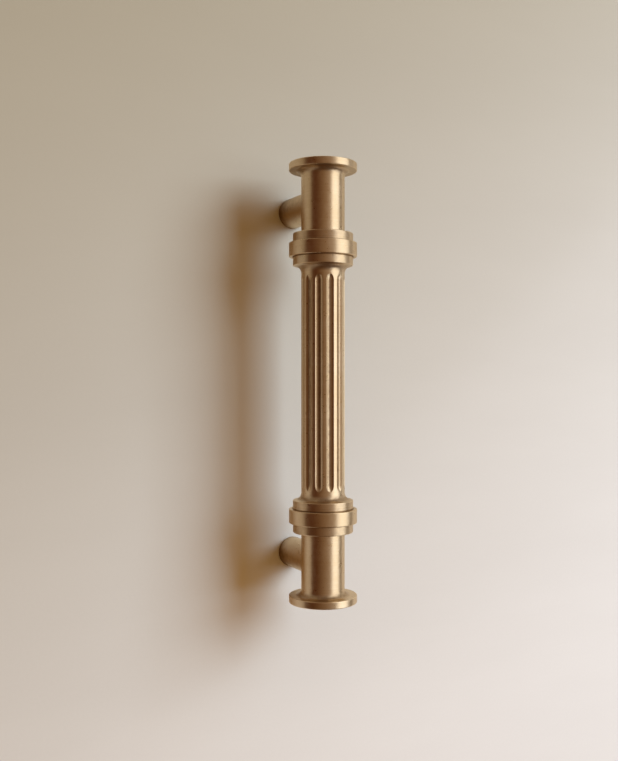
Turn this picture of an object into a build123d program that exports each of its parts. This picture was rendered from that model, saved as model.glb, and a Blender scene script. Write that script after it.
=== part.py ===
# A cabinet pull: a turned and fluted brass bar that stands off its door or drawer on two round posts.
# The origin lies on the mounting surface, midway between the two screw holes.
# +X runs to the right along the surface and +Z up it, and the pull stands out towards -Y.
# All sizes are in millimetres. The pull is the same above and below the origin.

import os
from math import sqrt

from build123d import *

# Where the pull stands
hole_spacing = 128.0        # between the axes of the two posts
bar_standoff = 25.0         # from the mounting surface to the bar's axis

# The bar's turned outline, from its ends to its middle
disc_diameter = 24.2
disc_thickness = 2.6
end_diameter = 15.45        # the plain length that a post enters
end_length = 22.2
middle_collar_diameter = 24.2
middle_collar_thickness = 5.0
outer_collar_step = 1.4     # how far a collar's rim lies within the middle collar's
outer_collar_thickness = 3.3
inner_collar_step = 1.4
inner_collar_thickness = 3.1
shaft_diameter = 15.45      # over the lands between the flutes

# Roundings left by the turning tool
edge_break = 0.3
disc_root_fillet = 2.0
cavetto_land = 0.03         # flat left on the inner collar's face, between its rim and the cavetto

# The flutes
flute_count = 12
flute_depth = 0.68
flute_rim_radius = 1.78     # of the milling wheel's round rim: the flute's section
flute_wheel_radius = 4.2    # of the wheel itself: how the ends of a flute rise to the surface
flute_margin = 0.95         # from the foot of the cavetto to the tip of a flute
flute_turn = -9.0           # degrees from straight ahead to a flute's centre, positive towards +X

# The posts and their seats in the back of the bar
post_diameter = 11.1
post_edge_break = 0.25
seat_clearance = 0.05       # between a post and the wall of its seat
seat_lip = 0.4              # depth of the seat's wall where it is shallowest

# The set screw that joins a post to the bar
stud_diameter = 5.0
stud_in_post = 6.0
stud_in_bar = 6.0
stud_clearance = 0.03       # between a stud and its hole, where the real ones have a thread
stud_end_chamfer = 0.6
stud_key_width = 2.5        # across the flats of its hexagon socket
stud_key_depth = 2.4

# The tapped hole in the foot of a post, for the mounting screw
screw_hole_diameter = 3.3   # tapping size of an M4 thread
screw_hole_depth = 9.0

# Every blind hole
mouth_chamfer = 0.35
stud_hole_reserve = 0.8     # how much deeper a hole is than the stud in it
drill_point_slope = 0.577   # height of the cone at its bottom for each unit of its radius

# Worked out from the sizes above
half_spacing = hole_spacing / 2
disc_bottom = half_spacing + end_length / 2
bar_top = disc_bottom + disc_thickness
outer_collar_top = half_spacing - end_length / 2
middle_collar_top = outer_collar_top - outer_collar_thickness
middle_collar_bottom = middle_collar_top - middle_collar_thickness
shaft_top = middle_collar_bottom - inner_collar_thickness
outer_collar_radius = middle_collar_diameter / 2 - outer_collar_step
inner_collar_radius = middle_collar_diameter / 2 - inner_collar_step
cavetto_radius = inner_collar_radius - edge_break - cavetto_land - shaft_diameter / 2  # down to the shaft

flute_runout = sqrt(flute_wheel_radius**2 - (flute_wheel_radius - flute_depth) ** 2)
wheel_travel = shaft_top - cavetto_radius - flute_margin - flute_runout
wheel_distance = shaft_diameter / 2 - flute_depth + flute_wheel_radius

seat_from_axis = sqrt((end_diameter / 2) ** 2 - (post_diameter / 2) ** 2) - seat_lip
post_length = bar_standoff - seat_from_axis
stud_hole_radius = stud_diameter / 2 + stud_clearance

standing = (Align.CENTER, Align.CENTER, Align.MIN)
hanging = (Align.CENTER, Align.CENTER, Align.MAX)


def turned(outline):
    """Turns an outline about Z. It is drawn as radius and height, and starts and ends on the axis."""
    axis_line = Line(outline @ 1, outline @ 0)
    return revolve(make_face(Plane.XZ * (outline + axis_line)), Axis.Z)


def bar_blank():
    """The bar as it leaves the lathe, upright about Z."""
    upper_corners = [
        (disc_diameter / 2, bar_top, edge_break),
        (disc_diameter / 2, disc_bottom, edge_break),
        (end_diameter / 2, disc_bottom, disc_root_fillet),
        (end_diameter / 2, outer_collar_top, 0),
        (outer_collar_radius, outer_collar_top, edge_break),
        (outer_collar_radius, middle_collar_top, 0),
        (middle_collar_diameter / 2, middle_collar_top, edge_break),
        (middle_collar_diameter / 2, middle_collar_bottom, edge_break),
        (inner_collar_radius, middle_collar_bottom, 0),
        (inner_collar_radius, shaft_top, edge_break),
        (shaft_diameter / 2, shaft_top, cavetto_radius),
    ]
    lower_corners = [(radius, -height, rounding) for radius, height, rounding in reversed(upper_corners)]
    corners = upper_corners + lower_corners
    points = [(radius, height) for radius, height, rounding in corners]
    roundings = [rounding for radius, height, rounding in corners]
    return turned(FilletPolyline((0, bar_top), *points, (0, -bar_top), radius=roundings))


def flute_cutter():
    """What a round-rimmed wheel removes as it mills one flute.

    The wheel's centre passes along Z, its axis lies along Y and it cuts on the side of -X.
    """
    rim_centre = flute_rim_radius - flute_wheel_radius
    sides = Polyline(
        (rim_centre, flute_rim_radius),
        (0, flute_rim_radius),
        (0, -flute_rim_radius),
        (rim_centre, -flute_rim_radius),
    )
    rim = ThreePointArc(sides @ 1, (-flute_wheel_radius, 0), sides @ 0)
    section = make_face(sides + rim)
    wheel = revolve(section, Axis.Y)
    path = extrude(section, wheel_travel, both=True)
    return path + Pos(0, 0, wheel_travel) * wheel + Pos(0, 0, -wheel_travel) * wheel


def blind_hole(radius, depth):
    """What a drill removes: it enters at the origin, goes down Z and ends in the drill's cone."""
    point_height = radius * drill_point_slope
    outline = Polyline(
        (0, 0),
        (radius + mouth_chamfer, 0),
        (radius, -mouth_chamfer),
        (radius, -depth),
        (0, -depth - point_height),
    )
    return turned(outline)


def on_post(height):
    """A post's own frame: its foot on the mounting surface at that height, and Z out along the post."""
    return Pos(0, 0, height) * Rot(90, 0, 0)


def make_bar():
    """The bar in its place, with its flutes, and in its back the seat and stud hole of each post."""
    straight_ahead = -90
    flutes = PolarLocations(wheel_distance, flute_count, straight_ahead + flute_turn) * flute_cutter()
    bar = Pos(0, -bar_standoff, 0) * (bar_blank() - flutes)

    seat = Cylinder(post_diameter / 2 + seat_clearance, post_length, align=hanging)
    stud_hole = Rot(180, 0, 0) * blind_hole(stud_hole_radius, stud_in_bar + stud_hole_reserve)
    for height in (half_spacing, -half_spacing):
        bar -= on_post(height) * Pos(0, 0, post_length) * (seat + stud_hole)
    return bar


def make_post():
    """One post on its foot: a turned rod with the stud's hole in its head and the screw's below."""
    outline = FilletPolyline(
        (0, post_length),
        (post_diameter / 2, post_length),
        (post_diameter / 2, 0),
        (0, 0),
        radius=post_edge_break,
    )
    stud_hole = Pos(0, 0, post_length) * blind_hole(stud_hole_radius, stud_in_post + stud_hole_reserve)
    screw_hole = Rot(180, 0, 0) * blind_hole(screw_hole_diameter / 2, screw_hole_depth)
    return turned(outline) - stud_hole - screw_hole


def make_stud():
    """One set screw on a post's axis: it passes the seat, and its key socket opens into the post."""
    length = stud_in_post + stud_in_bar
    rod = Cylinder(stud_diameter / 2, length, align=standing)
    rod = chamfer(rod.edges().filter_by(GeomType.CIRCLE), stud_end_chamfer)
    key_socket = extrude(RegularPolygon(stud_key_width / 2, 6, major_radius=False), stud_key_depth)
    return Pos(0, 0, post_length - stud_in_post) * (rod - key_socket)


nodes = {
    "bar": make_bar(),
    "upper_post": on_post(half_spacing) * make_post(),
    "lower_post": on_post(-half_spacing) * make_post(),
    "upper_stud": on_post(half_spacing) * make_stud(),
    "lower_stud": on_post(-half_spacing) * make_stud(),
}

os.makedirs("parts", exist_ok=True)
for name, piece in nodes.items():
    export_step(piece, f"parts/{name}.step")
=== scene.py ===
"""A turned and fluted brass cabinet pull, upright on a pale painted door, in soft light from the right.

Everything is in metres, in the model's own frame: the door's face is the plane of X and Z, the pull
stands out towards -Y and its bar runs along Z.
"""

from math import cos, pi, radians, sin, sqrt

import bpy
import numpy as np
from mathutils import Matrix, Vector


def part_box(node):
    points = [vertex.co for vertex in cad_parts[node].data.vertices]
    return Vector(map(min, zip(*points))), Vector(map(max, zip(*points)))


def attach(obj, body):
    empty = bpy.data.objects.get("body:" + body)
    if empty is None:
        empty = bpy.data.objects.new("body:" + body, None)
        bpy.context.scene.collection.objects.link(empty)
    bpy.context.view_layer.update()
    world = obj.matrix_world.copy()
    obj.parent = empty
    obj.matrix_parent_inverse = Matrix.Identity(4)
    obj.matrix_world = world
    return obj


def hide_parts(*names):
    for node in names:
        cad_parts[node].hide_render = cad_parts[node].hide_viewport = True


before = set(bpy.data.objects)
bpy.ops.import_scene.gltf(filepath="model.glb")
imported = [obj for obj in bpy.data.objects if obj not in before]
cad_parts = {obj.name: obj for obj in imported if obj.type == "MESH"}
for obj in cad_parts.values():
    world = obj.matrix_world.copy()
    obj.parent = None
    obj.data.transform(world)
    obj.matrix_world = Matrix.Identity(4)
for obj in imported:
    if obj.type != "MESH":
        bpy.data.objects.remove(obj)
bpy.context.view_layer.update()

mm = 0.001
tolerance = 0.001 * mm      # by which a height may miss the place that it is compared with

# Read from the frame
bar_low, bar_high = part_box("bar")
post_low, post_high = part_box("upper_post")
disc_radius = bar_high.x
bar_top = bar_high.z
bar_standoff = -(bar_low.y + bar_high.y) / 2
post_radius = post_high.x
post_length = -post_low.y
half_spacing = (post_low.z + post_high.z) / 2

# The bar's turned outline, from its ends to its middle
end_radius = 7.725 * mm
end_length = 22.2 * mm
outer_collar_radius = 10.7 * mm
outer_collar_thickness = 3.3 * mm
middle_collar_radius = disc_radius
middle_collar_thickness = 5.0 * mm
inner_collar_radius = 10.7 * mm
inner_collar_thickness = 3.1 * mm
shaft_radius = 7.725 * mm
edge_break = 0.3 * mm
disc_root_fillet = 2.0 * mm
cavetto_land = 0.03 * mm

disc_bottom = half_spacing + end_length / 2
outer_collar_top = half_spacing - end_length / 2
middle_collar_top = outer_collar_top - outer_collar_thickness
middle_collar_bottom = middle_collar_top - middle_collar_thickness
shaft_top = middle_collar_bottom - inner_collar_thickness
cavetto_radius = inner_collar_radius - edge_break - cavetto_land - shaft_radius
cavetto_foot = shaft_top - cavetto_radius

# The flutes, each milled by a wheel with a round rim
flute_count = 12
flute_depth = 0.68 * mm
flute_rim_radius = 1.78 * mm
flute_wheel_radius = 4.2 * mm
flute_margin = 0.95 * mm
flute_turn = -99.0          # degrees from +X to the middle of the first flute
flute_edge_rounding = 0.05 * mm

flute_runout = sqrt(flute_wheel_radius**2 - (flute_wheel_radius - flute_depth) ** 2)
flute_tip = cavetto_foot - flute_margin
wheel_travel = flute_tip - flute_runout
wheel_distance = shaft_radius - flute_depth + flute_wheel_radius

# The posts, their seats in the back of the bar and the holes in both
post_edge_break = 0.25 * mm
seat_clearance = 0.05 * mm
stud_hole_radius = 2.53 * mm
stud_hole_depth = 6.8 * mm
screw_hole_radius = 1.65 * mm
screw_hole_depth = 9.0 * mm
mouth_chamfer = 0.35 * mm
drill_point_slope = 0.577
thread_pitch = 0.7 * mm
thread_depth = 0.34 * mm

# How finely the surfaces are divided. The columns are shares of half a pitch, from a flute's middle out.
arc_steps = 5
row_spacing = 1.6 * mm
fewest_steps, most_steps = 3, 16
runout_rows, margin_rows, travel_rows, thread_rows = 17, 4, 34, 145
column_shares = np.array([0.12, 0.24, 0.35, 0.45, 0.53, 0.59, 0.62, 0.65, 0.68, 0.73, 0.82, 0.91])
flute_edge_share = 0.65     # the column that follows a flute's edge
least_half_width = 0.3 * mm
post_angles = np.linspace(0, 2 * pi, 96, endpoint=False)[None, :]
crease_angle = radians(32)


def corner_arc(before, corner, after, rounding):
    """The points of one corner's rounding.

    With u and v the directions from the corner to its neighbours, they are
    corner + rounding (u + v) - rounding (v cos a + u sin a), for a from nothing to a quarter turn.
    """
    if rounding == 0:
        return corner[None]
    u = (before - corner) / np.linalg.norm(before - corner)
    v = (after - corner) / np.linalg.norm(after - corner)
    a = np.linspace(0, pi / 2, arc_steps + 1)[:, None]
    return corner + rounding * (u + v) - rounding * (v * np.cos(a) + u * np.sin(a))


def rounded_outline(corners):
    """An outline of radius and height from square corners (radius, height, rounding).

    Along each straight stretch the points gather towards its ends, as the cosine of an even step does.
    """
    points = np.array([(radius, height) for radius, height, rounding in corners])
    roundings = [rounding for radius, height, rounding in corners[1:-1]]
    arcs = [corner_arc(*places) for places in zip(points, points[1:], points[2:], roundings)]
    pieces = [points[:1], *arcs, points[-1:]]
    outline = [pieces[0]]
    for start, end in zip(pieces, pieces[1:]):
        stretch = end[0] - start[-1]
        steps = int(np.clip(fewest_steps + np.linalg.norm(stretch) / row_spacing, fewest_steps, most_steps))
        share = (1 - np.cos(np.linspace(0, pi, steps + 1)[1:-1, None])) / 2
        outline += [start[-1] + share * stretch, end]
    return np.concatenate(outline)


def closed_turning(points, name):
    """A mesh from a grid of points (rows, columns, 3) that starts and ends in a point on the axis.

    Row by row the grid runs from the top of the piece to its foot, and each row runs anticlockwise seen
    from above. Every row closes on itself, and the first and last rows shrink to one vertex each.
    """
    rows, columns = points.shape[:2]
    inner = points[1:-1].reshape(-1, 3)
    vertices = np.concatenate([inner, points[0, :1], points[-1, :1]])
    top, foot = len(inner), len(inner) + 1
    column = np.arange(columns)
    following = (column + 1) % columns
    row = np.arange(rows - 3)[:, None] * columns
    next_row = row + columns
    last_row = (rows - 3) * columns
    sides = np.stack([row + column, next_row + column, next_row + following, row + following], -1)
    lid = np.stack([np.full(columns, top), column, following], -1)
    base = np.stack([np.full(columns, foot), last_row + following, last_row + column], -1)
    mesh = bpy.data.meshes.new(name)
    mesh.from_pydata(vertices.tolist(), [], sides.reshape(-1, 4).tolist() + lid.tolist() + base.tolist())
    return mesh


def point_values(mesh, name, grid):
    """Puts one number on each vertex of a closed turning, from a grid of them (rows, columns)."""
    values = np.concatenate([grid[1:-1].ravel(), grid[0, :1], grid[-1, :1]]).astype(np.float32)
    mesh.attributes.new(name, "FLOAT", "POINT").data.foreach_set("value", values)


def finish_values(mesh, outline, patina_and_painted_light, wear_and_painted_light):
    """Puts on each vertex how brown it is, with painted shade counted in, how much brighter it is from wear
    and painted light, and how far the turning tool had travelled there.

    The travel is the sum of the distances between neighbouring points of the outline, in millimetres, and
    the same all the way round.
    """
    steps = np.linalg.norm(np.diff(outline, axis=0), axis=1)
    travel = np.concatenate([[0], np.cumsum(steps)]) / mm
    point_values(mesh, "patina_and_painted_light", patina_and_painted_light)
    point_values(mesh, "wear_and_painted_light", wear_and_painted_light)
    point_values(mesh, "tool_travel", np.broadcast_to(travel[:, None], patina_and_painted_light.shape))


def nearness(outline, corners, reach):
    """How near each point of the outline is to any of the corners (radius, height, rounding).

    It is the exponential of -(distance / (reach + rounding / 2)), with the distance taken from the middle of
    the corner's rounding, which lies (root 2 - 1) times the rounding from the corner itself. Large roundings
    count for less, so that there is less painted shade in them.
    """
    # Less painted shade in roundings larger than this.
    large_rounding, weight_of_large = 1 * mm, 0.62
    corners = np.array(corners)
    rounding = corners[None, :, 2]
    distance = np.linalg.norm(outline[:, None, :] - corners[None, :, :2], axis=-1)
    distance = np.maximum(distance - (sqrt(2) - 1) * rounding, 0)
    weight = np.where(rounding > large_rounding, weight_of_large, 1)
    return (weight * np.exp(-distance / (reach + rounding / 2))).max(1)


def linked_object(name, data):
    """An object in the scene for a mesh, a light or a camera."""
    linked = bpy.data.objects.new(name, data)
    bpy.context.scene.collection.objects.link(linked)
    return linked


def brass_piece(name, mesh, node, brass):
    """The finished piece that stands for a node of the model, creased at the sharp edges of its mesh."""
    mesh.shade_smooth()
    mesh.set_sharp_from_angle(angle=crease_angle)
    mesh.materials.clear()
    mesh.materials.append(brass)
    piece = linked_object(name, mesh)
    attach(piece, "root")
    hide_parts(node)
    return piece


# The bar

def bar_corners():
    """The bar's corners (radius, height, rounding) from the middle of its top to the middle of its foot."""
    upper = [
        (disc_radius, bar_top, edge_break),
        (disc_radius, disc_bottom, edge_break),
        (end_radius, disc_bottom, disc_root_fillet),
        (end_radius, outer_collar_top, 0),
        (outer_collar_radius, outer_collar_top, edge_break),
        (outer_collar_radius, middle_collar_top, 0),
        (middle_collar_radius, middle_collar_top, edge_break),
        (middle_collar_radius, middle_collar_bottom, edge_break),
        (inner_collar_radius, middle_collar_bottom, 0),
        (inner_collar_radius, shaft_top, edge_break),
        (shaft_radius, shaft_top, cavetto_radius),
    ]
    lower = [(radius, -height, rounding) for radius, height, rounding in reversed(upper)]
    return [(0, bar_top, 0), *upper, *lower, (0, -bar_top, 0)]


def inner_and_outer_corners():
    """The bar's corners, sorted into the inner ones that brown, partly as painted shade, and the outer ones
    that hands wear, partly as a painted highlight.
    """
    corners = bar_corners()
    inner, outer = [], []
    for before, corner, after in zip(corners, corners[1:], corners[2:]):
        one, two = np.subtract(corner, before), np.subtract(after, corner)
        outward = one[0] * two[1] - one[1] * two[0] < 0
        (outer if outward else inner).append(corner)
    return inner, outer


def bar_outline():
    """The bar's outline, with rows of its own along the grip, close together where the flutes run out."""
    outline = rounded_outline(bar_corners())
    run_out = wheel_travel + flute_runout * np.sin(np.linspace(0, pi / 2, runout_rows))
    margin = np.linspace(flute_tip, cavetto_foot, margin_rows)[1:-1]
    rise = np.concatenate([run_out, margin])
    middle_rows = np.linspace(wheel_travel, -wheel_travel, travel_rows)[1:-1]
    heights = np.concatenate([rise[::-1], middle_rows, -rise])
    grip = np.stack([np.full(len(heights), shaft_radius), heights], -1)
    upper = outline[outline[:, 1] > cavetto_foot - tolerance]
    lower = outline[outline[:, 1] < tolerance - cavetto_foot]
    return np.concatenate([upper, grip, lower])


def flute_floor(across, along):
    """How far the wheel's surface lies from the bar's axis.

    Across is the distance from the flute's middle and along the distance past the wheel's last centre. The
    wheel's radius there is wheel - rim + root(rim^2 - across^2), and the surface lies at the wheel's distance
    less root(that radius^2 - along^2). Where the wheel doesn't reach, it lies well outside the bar.
    """
    well_outside = shaft_radius + 1.5 * mm
    reach = flute_wheel_radius - flute_rim_radius + np.sqrt(np.maximum(flute_rim_radius**2 - across**2, 0))
    touched = (np.abs(across) < flute_rim_radius) & (along < reach)
    height = np.sqrt(np.maximum(reach**2 - along**2, 0))
    return np.where(touched, wheel_distance - height, well_outside)


def flute_half_width(along):
    """Where the flute meets the land beside it, found by halving the span from its middle to its rim."""
    halvings = 40
    low, high = np.zeros_like(along), np.full_like(along, flute_rim_radius)
    for step in range(halvings):
        middle = (low + high) / 2
        inside = flute_floor(middle, along) < np.sqrt(shaft_radius**2 - middle**2)
        low, high = np.where(inside, middle, low), np.where(inside, high, middle)
    return low


def columns_across(height):
    """How far each column of one flute lies from the flute's middle, for every row (rows, columns).

    The columns keep the same shares of a flute and of a land, so that a line of vertices follows each flute's
    edge. Past the flute's tip the edge moves smoothly out to its even share of the pitch.
    """
    share = np.concatenate([-column_shares[::-1], [0], column_shares, [1]])[None, :]
    half_pitch = shaft_radius * sin(pi / flute_count)
    along = np.maximum(np.abs(height) - wheel_travel, 0)
    edge = np.maximum(flute_half_width(along), least_half_width)
    spread = np.clip((np.abs(height) - flute_tip) / (shaft_top - flute_tip), 0, 1)
    edge = edge + (flute_edge_share * half_pitch - edge) * spread**2 * (3 - 2 * spread)
    size = np.abs(share)
    in_flute = edge * size / flute_edge_share
    on_land = edge + (half_pitch - edge) * (size - flute_edge_share) / (1 - flute_edge_share)
    return np.sign(share) * np.where(size < flute_edge_share, in_flute, on_land)


def flute_cut(land, across, height):
    """How far the wheel cuts below each point of the lands, and how high the point lies above its surface.

    With d that height, the cut is its smooth positive part (d + root(d^2 + rounding^2)) / 2, and nothing
    where d is well below zero or the bar has no flutes.
    """
    not_fluted, uncut = -1.5 * mm, -1 * mm
    along = np.maximum(np.abs(height) - wheel_travel, 0)
    fluted = np.abs(height) < cavetto_foot
    depth = np.where(fluted, land - flute_floor(across, along), not_fluted)
    cut = (depth + np.sqrt(depth**2 + flute_edge_rounding**2)) / 2
    return np.where(fluted & (depth > uncut), cut, 0), depth


def bar_surface(outline):
    """The turned and fluted surface (rows, columns, 3), how hollow it is and how near to a flute's rim.

    Each row takes a radius and height from the outline. A column at angle a from its flute's middle lies at
    radius cos a out along the flute's own direction, less the cut, and radius sin a across it. That
    direction turns by an equal share of the circle from one flute to the next.
    """
    rim_reach = 0.08 * mm
    radius, height = outline[:, :1], outline[:, 1:]
    across = columns_across(height)
    angle = np.arcsin(across / shaft_radius)
    land, sideways = radius * np.cos(angle), radius * np.sin(angle)
    cut, depth = flute_cut(land, across, height)

    turn = np.radians(flute_turn + 360 / flute_count * np.arange(flute_count))[None, :, None]
    out, sideways = (land - cut)[:, None, :], sideways[:, None, :]
    x = (out * np.cos(turn) - sideways * np.sin(turn)).reshape(len(outline), -1)
    y = (out * np.sin(turn) + sideways * np.cos(turn)).reshape(len(outline), -1)
    surface = np.stack([x, y - bar_standoff, np.broadcast_to(height, x.shape)], -1)

    hollow = np.tile(np.clip(cut / flute_depth, 0, 1), (1, flute_count))
    flute_rim = np.tile(np.exp(-((depth / rim_reach) ** 2)), (1, flute_count))
    return surface, hollow, flute_rim


def bar_patina_and_painted_shade(outline, hollow):
    """How brown the bar is, from 0 to 1, with painted shade counted in: the greatest of what each place below
    holds.

    They are its inner corners, brown with age and darker as painted shade, the face under the upper disc,
    darkened as painted shade, the outer and inner collars, and the flutes, which are brown along their floors
    and again in a narrow line inside their edges, with age and as painted shade.
    """
    inner, outer = inner_and_outer_corners()
    # Inner corners brown with age and darker still as painted shade.
    corners = nearness(outline, inner, 0.45 * mm)[:, None]
    height = outline[:, 1:]
    from_middle = np.abs(height)
    # Painted shade under the upper disc.
    painted_shade_under_disc = 0.5 * ((height > disc_bottom - tolerance) & (height < disc_bottom + edge_break))
    outer_collars = 0.42 * ((from_middle > middle_collar_top) & (from_middle < outer_collar_top))
    inner_collars = 0.38 * ((from_middle > cavetto_foot) & (from_middle < middle_collar_bottom))
    # Flute floors and a line inside their edges, brown with age and darker as painted shade.
    flutes = 0.75 * hollow**2.2 + 0.5 * np.exp(-(((hollow - 0.14) / 0.12) ** 2))
    turned_parts = np.maximum.reduce([corners, painted_shade_under_disc, outer_collars, inner_collars])
    return np.maximum(turned_parts, flutes)


def bar_wear_and_painted_light(outline, flute_rim):
    """How much brighter the bar is, from 0 to 1, from wear and painted highlight on its outer corners and the
    flutes' rims, and as painted light on the lower disc's top.
    """
    inner, outer = inner_and_outer_corners()
    # Outer corners brighter from wear and as a painted highlight along their edges.
    corners = nearness(outline, outer, 0.1 * mm)[:, None]
    height = outline[:, 1:]
    # Painted light on the lower disc's top, which faces the light.
    painted_light_lower_disc = 0.55 * ((height < tolerance - disc_bottom) & (height > -edge_break - disc_bottom))
    # Flute rims brighter from wear and as a painted highlight.
    return np.maximum(np.maximum(corners, painted_light_lower_disc), 0.3 * flute_rim)


def around_post(radius, distance, height):
    """An outline turned about the axis of the post at that height, as a grid (rows, columns, 3).

    At the angle a from +X towards +Z, a point is (radius cos a, -distance, height + radius sin a).
    """
    x, z = radius * np.cos(post_angles), radius * np.sin(post_angles) + height
    return np.stack([x, np.broadcast_to(-distance, x.shape), z], -1)


def seat_outline():
    """What is cut from the bar's back for a post's head and its stud: radius and distance from the door."""
    wall = post_radius + seat_clearance
    stud_hole_end = post_length + stud_hole_depth
    return np.array([
        (0, stud_hole_end + stud_hole_radius * drill_point_slope),
        (stud_hole_radius, stud_hole_end),
        (stud_hole_radius, post_length + mouth_chamfer),
        (stud_hole_radius + mouth_chamfer, post_length),
        (wall, post_length),
        (wall, post_length / 2),
        (0, post_length / 2),
    ])


def with_seats(mesh):
    """The bar's mesh with both seats and stud holes cut into it."""
    blank = linked_object("blank", mesh)
    outline = seat_outline()
    for height in (half_spacing, -half_spacing):
        grid = around_post(outline[:, :1], outline[:, 1:], height)
        cutter = linked_object("cutter", closed_turning(grid, "cutter"))
        cut = blank.modifiers.new("seat", "BOOLEAN")
        cut.object, cut.operation, cut.solver = cutter, "DIFFERENCE", "EXACT"
        graph = bpy.context.evaluated_depsgraph_get()
        mesh = bpy.data.meshes.new_from_object(blank.evaluated_get(graph))
        blank.modifiers.clear()
        blank.data = mesh
        bpy.data.objects.remove(cutter)
    bpy.data.objects.remove(blank)
    return mesh


def make_bar(brass):
    outline = bar_outline()
    surface, hollow, flute_rim = bar_surface(outline)
    mesh = closed_turning(surface, "fluted_bar")
    finish_values(mesh, outline, bar_patina_and_painted_shade(outline, hollow), bar_wear_and_painted_light(outline, flute_rim))
    brass_piece("fluted_bar", with_seats(mesh), "bar", brass)


# The posts

def post_outline():
    """A post's outline (radius, distance from the door), from the tip of the stud's hole to the screw's."""
    head = np.array([
        (0, post_length - stud_hole_depth - stud_hole_radius * drill_point_slope),
        (stud_hole_radius, post_length - stud_hole_depth),
        (stud_hole_radius, post_length - mouth_chamfer),
    ])
    side = rounded_outline([
        (stud_hole_radius + mouth_chamfer, post_length, 0),
        (post_radius, post_length, post_edge_break),
        (post_radius, 0, post_edge_break),
        (screw_hole_radius + mouth_chamfer, 0, 0),
    ])
    depths = np.linspace(mouth_chamfer, screw_hole_depth, thread_rows)
    wall = np.stack([np.full(len(depths), screw_hole_radius), depths], -1)
    tip = np.array([(0, screw_hole_depth + screw_hole_radius * drill_point_slope)])
    return np.concatenate([head, side, wall, tip]), len(head) + len(side)


def post_surface(outline, first_threaded, height):
    """A post standing out towards -Y at that height: its outline turned about its axis.

    Down the screw's hole the radius is raised by the thread's depth times the height of a triangle wave of
    (depth / pitch - angle / full turn), which makes the thread's helix. It fades in the last pitch.
    """
    radius, distance = outline[:, :1], outline[:, 1:]
    phase = (distance / thread_pitch - post_angles / (2 * pi)) % 1
    ridge = 1 - np.abs(2 * phase - 1)
    fade = np.clip((screw_hole_depth - distance) / thread_pitch, 0, 1)
    row = np.arange(len(outline))[:, None]
    threaded = (row >= first_threaded) & (row < len(outline) - 1)
    radius = radius + np.where(threaded, thread_depth * ridge * fade, 0)
    return around_post(radius, distance, height)


def post_patina_and_painted_light(outline, surface, height):
    """How brown a post is, from 0 to 1.

    It is brown all over, darker near the door as painted shade, and lighter on the side that faces the other
    post as a painted reflection.
    """
    on_side = outline[:, 0] > post_radius - post_edge_break - tolerance
    # Painted shade where the post meets the door.
    painted_shade_at_door = on_side * nearness(outline, [(post_radius, 0, post_edge_break)], 4.2 * mm)
    # Painted reflection: lighter on the side that faces the other post.
    towards_other = (height - surface[..., 2]) * np.sign(height)
    painted_reflection_side = np.clip(towards_other / post_radius, 0, 1)
    return 0.42 + 0.72 * painted_shade_at_door[:, None] - 0.5 * painted_reflection_side


def make_post(name, node, height, brass):
    outline, first_threaded = post_outline()
    surface = post_surface(outline, first_threaded, height)
    mesh = closed_turning(surface, name)
    patina_and_painted_light = post_patina_and_painted_light(outline, surface, height)
    finish_values(mesh, outline, patina_and_painted_light, np.zeros(patina_and_painted_light.shape))
    brass_piece(name, mesh, node, brass)


# Materials

class Nodes:
    """Adds shader nodes to a tree, with what feeds each socket given by name."""

    def __init__(self, tree):
        self.tree = tree
        tree.nodes.clear()

    def add(self, kind, sockets=None, **settings):
        node = self.tree.nodes.new("ShaderNode" + kind)
        for name, value in settings.items():
            setattr(node, name, value)
        for name, value in (sockets or {}).items():
            socket = node.inputs[name]
            if isinstance(value, bpy.types.NodeSocket):
                self.tree.links.new(value, socket)
            else:
                socket.default_value = value
        return node

    def place(self):
        """Object coordinates."""
        return self.add("TexCoord").outputs["Object"]

    def attribute(self, name):
        return self.add("Attribute", attribute_name=name).outputs["Fac"]

    def math(self, operation, one, two=0.0):
        return self.add("Math", {0: one, 1: two}, operation=operation).outputs[0]

    def weighted(self, *terms):
        """The sum of values, each times its weight, from pairs (value, weight)."""
        total, *others = [self.math("MULTIPLY", value, weight) for value, weight in terms]
        for part in others:
            total = self.math("ADD", total, part)
        return total

    def mix(self, share, one, two):
        node = self.add("Mix", {0: share, 6: one, 7: two}, data_type="RGBA")
        return node.outputs[2]

    def noise(self, vector, scale, detail=3.0, roughness=0.55):
        sockets = {"Vector": vector, "Scale": scale, "Detail": detail, "Roughness": roughness}
        return self.add("TexNoise", sockets).outputs["Fac"]

    def ramp(self, value, low, high):
        """0 below low, 1 above high and smooth between."""
        sockets = {"Value": value, "From Min": low, "From Max": high}
        return self.add("MapRange", sockets, interpolation_type="SMOOTHSTEP").outputs[0]

    def bump(self, height, strength, distance):
        return self.add("Bump", {"Height": height, "Strength": strength, "Distance": distance}).outputs[0]

    def finish(self, shader):
        self.tree.links.new(shader, self.add("OutputMaterial").inputs["Surface"])


def new_material(name):
    """An empty material and its nodes."""
    material = bpy.data.materials.new(name)
    material.use_nodes = True
    return material, Nodes(material.node_tree)


def colour(red, green, blue):
    return (red, green, blue, 1.0)


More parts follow.
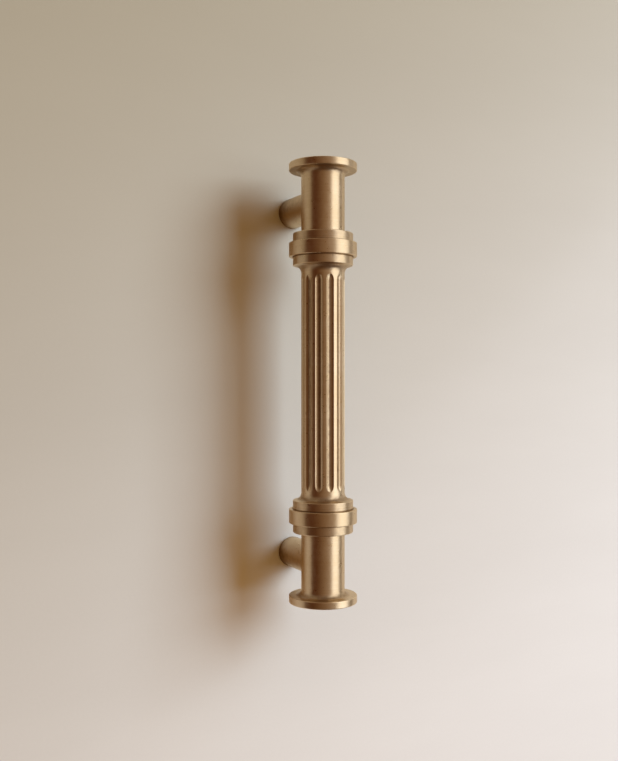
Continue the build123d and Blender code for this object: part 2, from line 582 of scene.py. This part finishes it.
def aged_brass():
    """Satin brass with fine turning marks, browned with age and by painted shade, and brighter from wear and
    by painted light.
    """
    dull_brass, clear_brass = colour(0.63, 0.47, 0.29), colour(0.71, 0.56, 0.385)
    patina_and_shade_brown = colour(0.165, 0.078, 0.031)
    pit_brown = colour(0.13, 0.065, 0.03)
    worn_and_highlight_brass = colour(0.78, 0.62, 0.41)
    glancing_tint = colour(0.98, 0.92, 0.80)

    material, n = new_material("aged_brass")
    place = n.place()
    clouds = n.noise(place, 90.0)
    mottle = n.noise(place, 700.0, 4.0, 0.6)
    specks = n.noise(place, 2600.0, 1.0)
    along_cut = {"W": n.attribute("tool_travel"), "Scale": 2.0, "Detail": 4.0}
    marks = n.add("TexNoise", along_cut, noise_dimensions="1D").outputs["Fac"]

    tone = n.ramp(n.weighted((clouds, 0.48), (mottle, 0.32), (marks, 0.2)), 0.38, 0.66)
    brass = n.mix(tone, dull_brass, clear_brass)
    # Browning with age, together with painted shade in corners, hollows and where the posts meet the door,
    # and a painted reflection on the posts.
    uneven_patina_and_light = n.weighted((n.attribute("patina_and_painted_light"), 1.0), (mottle, 0.5))
    browned = n.math("MULTIPLY", n.ramp(uneven_patina_and_light, 0.47, 1.2), 0.8)
    brass = n.mix(browned, brass, patina_and_shade_brown)
    pitted = n.math("MULTIPLY", n.ramp(specks, 0.70, 0.78), n.ramp(clouds, 0.45, 0.65))
    brass = n.mix(n.math("MULTIPLY", pitted, 0.7), brass, pit_brown)
    # Brightening from wear, together with painted highlights on edges and flute rims and painted light on the
    # lower disc's top.
    uneven_wear_and_light = n.weighted((n.attribute("wear_and_painted_light"), 1.0), (mottle, 0.4))
    brightened = n.math("MULTIPLY", n.ramp(uneven_wear_and_light, 0.5, 1.1), 0.8)
    brass = n.mix(brightened, brass, worn_and_highlight_brass)

    roughness = n.math("ADD", n.weighted((mottle, 0.16), (browned, 0.18)), 0.22)
    relief = n.weighted((marks, 1.0), (mottle, 0.35), (pitted, -1.0))
    shader = n.add("BsdfPrincipled", {
        "Base Color": brass, "Metallic": 1.0, "Roughness": roughness, "Specular Tint": glancing_tint,
        "Normal": n.bump(relief, 0.35, 0.03 * mm),
    })
    n.finish(shader.outputs[0])
    return material


def stud_steel():
    """Plain steel with a fine grain."""
    dark_steel, light_steel = colour(0.30, 0.30, 0.31), colour(0.52, 0.52, 0.53)

    material, n = new_material("set_screw_steel")
    grain = n.noise(n.place(), 1500.0, 4.0)
    shader = n.add("BsdfPrincipled", {
        "Base Color": n.mix(grain, dark_steel, light_steel), "Metallic": 1.0,
        "Roughness": n.math("ADD", n.math("MULTIPLY", grain, 0.2), 0.28),
        "Normal": n.bump(grain, 0.3, 0.02 * mm),
    })
    n.finish(shader.outputs[0])
    return material


def door_paint():
    """Pale matt paint with a faint grain, and painted light: lighter towards the lower right and past a soft
    slanted edge, with soft slanted streaks of painted shadow.

    Its back can be seen through, and so can what a post's foot covers, so that the feet show from behind.
    """
    painted_shade_colour, painted_light_colour = colour(0.45, 0.393, 0.29), colour(0.93, 0.89, 0.87)
    grain_and_shadow_brown = colour(0.2, 0.16, 0.12)
    band_turn, band_scale = radians(-42), (3.5, 3.5, 13.0)

    material, n = new_material("door_paint")
    place = n.place()
    sides = n.add("SeparateXYZ", {0: place}).outputs
    across, up = sides["X"], sides["Z"]
    # Painted light: lighter towards the lower right, and again past a soft slanted edge.
    painted_light_slope = n.ramp(n.weighted((across, 1.7), (up, -3.2)), -0.77, 0.83)
    painted_light_edge = n.ramp(n.weighted((across, 0.66), (up, -0.75)), 32 * mm, 68 * mm)
    paint = n.mix(n.weighted((painted_light_slope, 0.95), (painted_light_edge, 0.05)), painted_shade_colour, painted_light_colour)
    grain = n.noise(place, 900.0, 5.0, 0.7)
    # Painted shadow in soft slanted streaks, over the paint's own grain.
    slanted = n.add("Mapping", {"Vector": place, "Rotation": (0, band_turn, 0), "Scale": band_scale})
    painted_shadow_streaks = n.noise(slanted.outputs[0], 1.0, 4.0, 0.6)
    paint = n.mix(n.weighted((grain, 0.06), (painted_shadow_streaks, 0.16)), paint, grain_and_shadow_brown)
    front = n.add("BsdfPrincipled", {
        "Base Color": paint, "Roughness": 0.75, "Specular IOR Level": 0.2,
        "Normal": n.bump(grain, 0.15, 0.1 * mm),
    })

    see_through = n.add("BsdfTransparent")
    back = n.add("NewGeometry").outputs["Backfacing"]
    over = n.math("SUBTRACT", n.math("ABSOLUTE", up), half_spacing)
    squares = n.math("ADD", n.math("POWER", across, 2.0), n.math("POWER", over, 2.0))
    covered = n.math("LESS_THAN", n.math("SQRT", squares), post_radius - post_edge_break)
    clear = n.math("MAXIMUM", back, covered)
    n.finish(n.add("MixShader", {0: clear, 1: front.outputs[0], 2: see_through.outputs[0]}).outputs[0])
    return material


# The door, the light and the camera

def make_door():
    """A wide flat sheet just behind the feet of the posts, facing -Y."""
    half, gap = 1.5, 0.02 * mm
    mesh = bpy.data.meshes.new("door")
    corners = [(-half, gap, -half), (half, gap, -half), (half, gap, half), (-half, gap, half)]
    mesh.from_pydata(corners, [], [(0, 1, 2, 3)])
    mesh.materials.append(door_paint())
    door = linked_object("door", mesh)


def soft_panel(name, azimuth, elevation, width, height, radiance, reflected):
    """A soft panel that faces the pull, to be seen in reflections or else to light what is matt.

    Azimuth 0 is straight in front of the door and 90 is along +X. The panel's radiance is its power over
    pi times its area.
    """
    distance = 2.0
    azimuth, elevation = radians(azimuth), radians(elevation)
    level, middle = cos(elevation), Vector((0, -bar_standoff, 0))
    outward = Vector((sin(azimuth) * level, -cos(azimuth) * level, sin(elevation)))
    strongest = max(radiance)
    data = bpy.data.lights.new(name, "AREA")
    data.shape = "RECTANGLE"
    data.size, data.size_y = width, height
    data.energy = strongest * pi * width * height
    data.color = [part / strongest for part in radiance]
    light = linked_object(name, data)
    light.location = middle + distance * outward
    light.rotation_euler = (middle - light.location).to_track_quat("-Z", "Y").to_euler()
    light.visible_camera = False
    light.visible_glossy = reflected
    light.visible_diffuse = not reflected


def make_world():
    """A warm dim room.

    In reflections it is darkest to the left, what is matt sees it as even, and the camera as plain and pale.
    """
    around = [
        (-62, (0.092, 0.030, 0.0105)),
        (-50, (0.135, 0.059, 0.0235)),
        (-20, (0.275, 0.172, 0.098)),
        (15, (0.44, 0.325, 0.24)),
        (62, (0.27, 0.22, 0.18)),
        (90, (0.27, 0.22, 0.18)),
    ]
    overhead, underfoot = colour(0.25, 0.168, 0.11), colour(0.104, 0.049, 0.020)
    to_matt, to_camera = colour(0.405, 0.224, 0.075), colour(0.62, 0.56, 0.50)

    world = bpy.data.worlds.new("room")
    bpy.context.scene.world = world
    world.use_nodes = True
    world.cycles.sampling_method = "NONE"
    n = Nodes(world.node_tree)
    direction = n.add("SeparateXYZ", {0: n.add("TexCoord").outputs["Generated"]}).outputs
    azimuth = n.math("ARCTAN2", direction["X"], n.math("MULTIPLY", direction["Y"], -1.0))
    turn = n.math("ADD", n.math("DIVIDE", azimuth, 2 * pi), 0.5)
    walls = n.add("ValToRGB", {0: turn})
    ramp = walls.color_ramp
    while len(ramp.elements) < len(around):
        ramp.elements.new(0.5)
    for element, (angle, tint) in zip(ramp.elements, around):
        element.position = angle / 360 + 0.5
        element.color = colour(*tint)
    room = n.mix(n.ramp(direction["Z"], 0.3, 0.8), walls.outputs[0], overhead)
    room = n.mix(n.ramp(direction["Z"], -0.2, -0.6), room, underfoot)
    path = n.add("LightPath").outputs
    room = n.mix(path["Is Diffuse Ray"], room, to_matt)
    shown = n.mix(path["Is Camera Ray"], room, to_camera)
    light = n.add("Background", {"Color": shown, "Strength": 1.0})
    n.tree.links.new(light.outputs[0], n.add("OutputWorld").inputs["Surface"])


def make_camera():
    """The photograph's view: level, from the left of the pull, its long side spanning the sensor."""
    image_height, image_width = 761, 618
    focal_length_px = 895.0
    bar_axis_px, bar_middle_px = 322.95, 382.8
    yaw, distance = radians(27.4), 318 * mm
    data = bpy.data.cameras.new("camera")
    data.sensor_width = 36.0
    data.lens = focal_length_px / image_height * data.sensor_width
    data.clip_start = 0.01
    forward, right = Vector((sin(yaw), cos(yaw), 0)), Vector((cos(yaw), -sin(yaw), 0))
    scale = distance / focal_length_px
    to_left = (bar_axis_px - image_width / 2) * scale
    raised = (bar_middle_px - image_height / 2) * scale
    camera = linked_object("camera", data)
    middle = Vector((0, -bar_standoff, 0))
    camera.location = middle - distance * forward - to_left * right + Vector((0, 0, raised))
    camera.rotation_euler = forward.to_track_quat("-Z", "Y").to_euler()
    bpy.context.scene.camera = camera


brass = aged_brass()
make_bar(brass)
make_post("turned_upper_post", "upper_post", half_spacing, brass)
make_post("turned_lower_post", "lower_post", -half_spacing, brass)

steel = stud_steel()
for name in ("upper_stud", "lower_stud"):
    for material_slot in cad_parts[name].material_slots:
        material_slot.material = steel

make_door()
soft_panel("window", 42.5, 10, 1.7, 4.6, (1.39, 1.50, 1.58), reflected=True)
soft_panel("key", 41.5, 20, 1.05, 1.0, (4.85, 6.15, 7.1), reflected=False)
soft_panel("tall_key", 41.5, 19, 1.15, 2.2, (2.3, 2.87, 3.4), reflected=False)
soft_panel("key_edge", 58.5, 24, 0.12, 1.2, (7.0, 8.5, 10.0), reflected=False)
make_world()
make_camera()
bpy.context.scene.view_settings.view_transform = "Standard"
